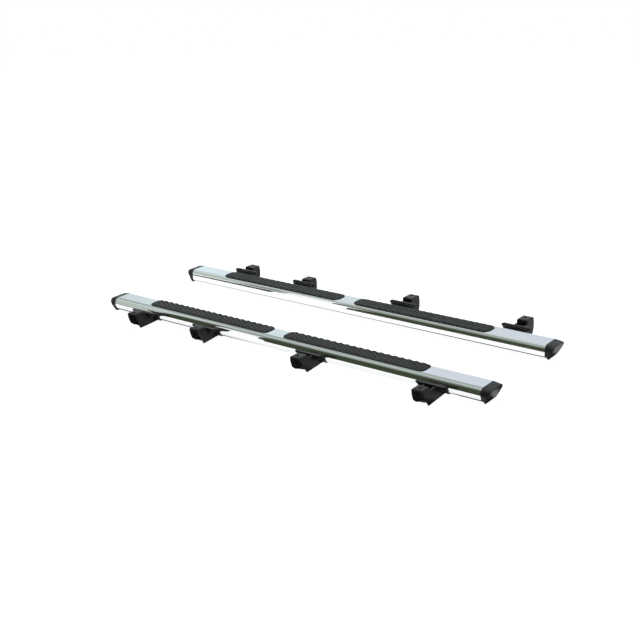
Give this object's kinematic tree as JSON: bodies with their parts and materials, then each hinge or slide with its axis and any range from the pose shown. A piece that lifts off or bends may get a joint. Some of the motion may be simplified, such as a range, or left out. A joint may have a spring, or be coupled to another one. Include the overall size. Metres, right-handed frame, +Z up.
{
  "type": "vehicle running board pair",
  "caption": "Pair of oval polished steel vehicle running boards with ribbed black step pads, end caps and sliding bolt-on mounting brackets.",
  "frame": {"origin": "middle of the pair on the ground, under the centre of the whole set as it stands", "axes": "+X along the bars towards the end with the longer bare stretch, +Y from the right-hand board to the left-hand board, +Z up"},
  "size_m": [2.182, 1.027, 0.0816],
  "materials": {
    "chrome": "mirror polished stainless steel",
    "zinc": "zinc-plated rolled steel",
    "cap_plastic": "moulded, fine texture",
    "black_screws": "black oxide",
    "pad_rubber": "moulded, ribbed",
    "clip_plastic": "moulded",
    "bracket_paint": "black powder coat, satin",
    "fastener_zinc": "bright zinc"
  },
  "bodies": {
    "right_board": {"right_tube": "chrome", "right_slot_rail": "zinc", "right_front_cap": "cap_plastic", "right_rear_cap": "cap_plastic", "right_cap_screws": "black_screws", "right_front_pad": "pad_rubber", "right_rear_pad": "pad_rubber", "right_pad_clips": "clip_plastic"},
    "left_board": {"left_tube": "chrome", "left_slot_rail": "zinc", "left_front_cap": "cap_plastic", "left_rear_cap": "cap_plastic", "left_cap_screws": "black_screws", "left_front_pad": "pad_rubber", "left_rear_pad": "pad_rubber", "left_pad_clips": "clip_plastic"},
    "right_bracket_set_1": {"right_bracket_1": "bracket_paint", "right_foot_1": "bracket_paint", "right_slot_bolts_1": "fastener_zinc", "right_flange_bolts_1": "black_screws", "right_nuts_1": "black_screws"},
    "right_bracket_set_2": {"right_bracket_2": "bracket_paint", "right_foot_2": "bracket_paint", "right_slot_bolts_2": "fastener_zinc", "right_flange_bolts_2": "black_screws", "right_nuts_2": "black_screws"},
    "right_bracket_set_3": {"right_bracket_3": "bracket_paint", "right_foot_3": "bracket_paint", "right_slot_bolts_3": "fastener_zinc", "right_flange_bolts_3": "black_screws", "right_nuts_3": "black_screws"},
    "right_bracket_set_4": {"right_bracket_4": "bracket_paint", "right_foot_4": "bracket_paint", "right_slot_bolts_4": "fastener_zinc", "right_flange_bolts_4": "black_screws", "right_nuts_4": "black_screws"},
    "left_bracket_set_1": {"left_bracket_1": "bracket_paint", "left_foot_1": "bracket_paint", "left_slot_bolts_1": "fastener_zinc", "left_flange_bolts_1": "black_screws", "left_nuts_1": "black_screws"},
    "left_bracket_set_2": {"left_bracket_2": "bracket_paint", "left_foot_2": "bracket_paint", "left_slot_bolts_2": "fastener_zinc", "left_flange_bolts_2": "black_screws", "left_nuts_2": "black_screws"},
    "left_bracket_set_3": {"left_bracket_3": "bracket_paint", "left_foot_3": "bracket_paint", "left_slot_bolts_3": "fastener_zinc", "left_flange_bolts_3": "black_screws", "left_nuts_3": "black_screws"},
    "left_bracket_set_4": {"left_bracket_4": "bracket_paint", "left_foot_4": "bracket_paint", "left_slot_bolts_4": "fastener_zinc", "left_flange_bolts_4": "black_screws", "left_nuts_4": "black_screws"}
  },
  "joints": [
    {"name": "board_spacing", "type": "slide", "parent": "right_board", "child": "left_board", "axis": [0, 1, 0], "range_m": [-0.1, 0.5]},
    {"name": "right_bracket_slide_1", "type": "slide", "parent": "right_board", "child": "right_bracket_set_1", "axis": [1, 0, 0], "range_m": [-0.04, 0.04]},
    {"name": "right_bracket_slide_2", "type": "slide", "parent": "right_board", "child": "right_bracket_set_2", "axis": [1, 0, 0], "range_m": [-0.04, 0.04]},
    {"name": "right_bracket_slide_3", "type": "slide", "parent": "right_board", "child": "right_bracket_set_3", "axis": [1, 0, 0], "range_m": [-0.04, 0.04]},
    {"name": "right_bracket_slide_4", "type": "slide", "parent": "right_board", "child": "right_bracket_set_4", "axis": [1, 0, 0], "range_m": [-0.04, 0.04]},
    {"name": "left_bracket_slide_1", "type": "slide", "parent": "left_board", "child": "left_bracket_set_1", "axis": [1, 0, 0], "range_m": [-0.04, 0.04]},
    {"name": "left_bracket_slide_2", "type": "slide", "parent": "left_board", "child": "left_bracket_set_2", "axis": [1, 0, 0], "range_m": [-0.04, 0.04]},
    {"name": "left_bracket_slide_3", "type": "slide", "parent": "left_board", "child": "left_bracket_set_3", "axis": [1, 0, 0], "range_m": [-0.04, 0.04]},
    {"name": "left_bracket_slide_4", "type": "slide", "parent": "left_board", "child": "left_bracket_set_4", "axis": [1, 0, 0], "range_m": [-0.04, 0.04]}
  ]
}
